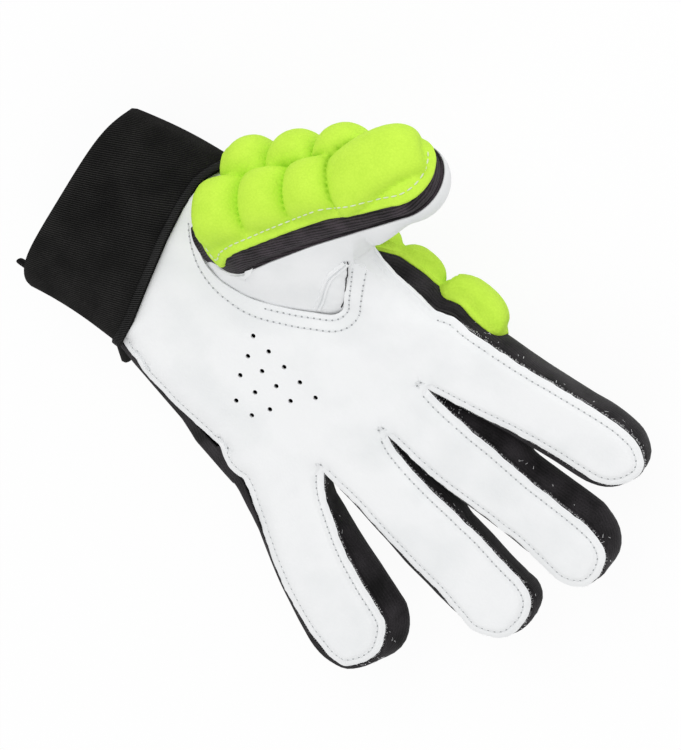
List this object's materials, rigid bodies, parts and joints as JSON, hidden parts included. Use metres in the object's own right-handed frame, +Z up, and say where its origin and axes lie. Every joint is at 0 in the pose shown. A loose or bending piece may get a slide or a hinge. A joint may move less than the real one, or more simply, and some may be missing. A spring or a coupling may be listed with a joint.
{
  "type": "field hockey glove",
  "caption": "Left-hand field hockey glove with a leather palm, knitted sides, puffy padded cells on the back, fingers and thumb, and a wide elastic cuff.",
  "frame": {"origin": "on the table, under the middle of the bounding box", "axes": "+X towards the little finger, +Y along the fingers, +Z up from the table towards the palm"},
  "size_m": [0.188, 0.2358, 0.0687],
  "materials": {
    "leather": "soft white synthetic leather, matt",
    "knit": "black ribbed knit",
    "elastic": "black fine-ribbed elastic",
    "pad_cover": "yellow-green stretch cover, matt",
    "foam": "off-white foam"
  },
  "bodies": {
    "hand": {"palm_leather": "leather", "hand_back": "knit", "thumb_side_strip": "knit", "outer_side_strip": "knit", "hand_pad_cover": "pad_cover", "hand_pad_foam": "foam", "cuff_elastic": "elastic", "wrist_binding": "knit", "cuff_pull_tab": "knit", "side_seam_tail": "knit", "thumb_gusset": "leather", "thumb_root_leather": "leather", "thumb_root_knit": "knit", "thumb_root_pad_cover": "pad_cover", "thumb_root_pad_foam": "foam"},
    "index_base": {"index_base_leather": "leather", "index_base_back": "knit", "index_fourchette_thumb_side": "knit", "index_fourchette_outer_side": "knit", "index_knuckle_pad_cover": "pad_cover", "index_knuckle_pad_foam": "foam"},
    "index_tip": {"index_tip_leather": "leather", "index_tip_knit": "knit"},
    "middle_base": {"middle_base_leather": "leather", "middle_base_back": "knit", "middle_fourchette_thumb_side": "knit", "middle_fourchette_outer_side": "knit", "middle_knuckle_pad_cover": "pad_cover", "middle_knuckle_pad_foam": "foam"},
    "middle_tip": {"middle_tip_leather": "leather", "middle_tip_knit": "knit"},
    "ring_base": {"ring_base_leather": "leather", "ring_base_back": "knit", "ring_fourchette_thumb_side": "knit", "ring_fourchette_outer_side": "knit", "ring_knuckle_pad_cover": "pad_cover", "ring_knuckle_pad_foam": "foam"},
    "ring_tip": {"ring_tip_leather": "leather", "ring_tip_knit": "knit"},
    "little_base": {"little_base_leather": "leather", "little_base_back": "knit", "little_fourchette_thumb_side": "knit", "little_fourchette_outer_side": "knit", "little_knuckle_pad_cover": "pad_cover", "little_knuckle_pad_foam": "foam"},
    "little_tip": {"little_tip_leather": "leather", "little_tip_knit": "knit"},
    "thumb_base": {"thumb_base_leather": "leather", "thumb_base_knit": "knit", "thumb_base_pad_cover": "pad_cover", "thumb_base_pad_foam": "foam"},
    "thumb_tip": {"thumb_tip_leather": "leather", "thumb_tip_knit": "knit", "thumb_tip_pad_cover": "pad_cover", "thumb_tip_pad_foam": "foam"}
  },
  "joints": [
    {"name": "index_knuckle", "type": "hinge", "parent": "hand", "child": "index_base", "pos_m": [-0.02393, 0.02756, 0.036], "axis": [0.9898, 0.1426, 0], "range_deg": [0, 60]},
    {"name": "index_middle_joint", "type": "hinge", "parent": "index_base", "child": "index_tip", "pos_m": [-0.02792, 0.05528, 0.036], "axis": [0.9898, 0.1426, 0], "range_deg": [0, 70]},
    {"name": "middle_knuckle", "type": "hinge", "parent": "hand", "child": "middle_base", "pos_m": [0.00247, 0.02906, 0.036], "axis": [0.999, -0.0454, 0], "range_deg": [0, 60]},
    {"name": "middle_middle_joint", "type": "hinge", "parent": "middle_base", "child": "middle_tip", "pos_m": [0.00387, 0.06003, 0.036], "axis": [0.999, -0.0454, 0], "range_deg": [0, 70]},
    {"name": "ring_knuckle", "type": "hinge", "parent": "hand", "child": "ring_base", "pos_m": [0.02817, 0.02406, 0.036], "axis": [0.9866, -0.1633, 0], "range_deg": [0, 60]},
    {"name": "ring_middle_joint", "type": "hinge", "parent": "ring_base", "child": "ring_tip", "pos_m": [0.0329, 0.05267, 0.036], "axis": [0.9866, -0.1633, 0], "range_deg": [0, 70]},
    {"name": "little_knuckle", "type": "hinge", "parent": "hand", "child": "little_base", "pos_m": [0.05277, 0.00826, 0.036], "axis": [0.8572, -0.515, 0], "range_deg": [0, 60]},
    {"name": "little_middle_joint", "type": "hinge", "parent": "little_base", "child": "little_tip", "pos_m": [0.06513, 0.02884, 0.036], "axis": [0.8572, -0.515, 0], "range_deg": [0, 70]},
    {"name": "thumb_knuckle", "type": "hinge", "parent": "hand", "child": "thumb_base", "pos_m": [-0.04287, -0.02852, 0.03099], "axis": [-0.5496, -0.4879, -0.6782], "range_deg": [0, 35], "stiffness_Nm_per_rad": 0.3},
    {"name": "thumb_tip_joint", "type": "hinge", "parent": "thumb_base", "child": "thumb_tip", "pos_m": [-0.06117, -0.01574, 0.03662], "axis": [-0.5496, -0.4879, -0.6782], "range_deg": [0, 40], "stiffness_Nm_per_rad": 0.2}
  ]
}
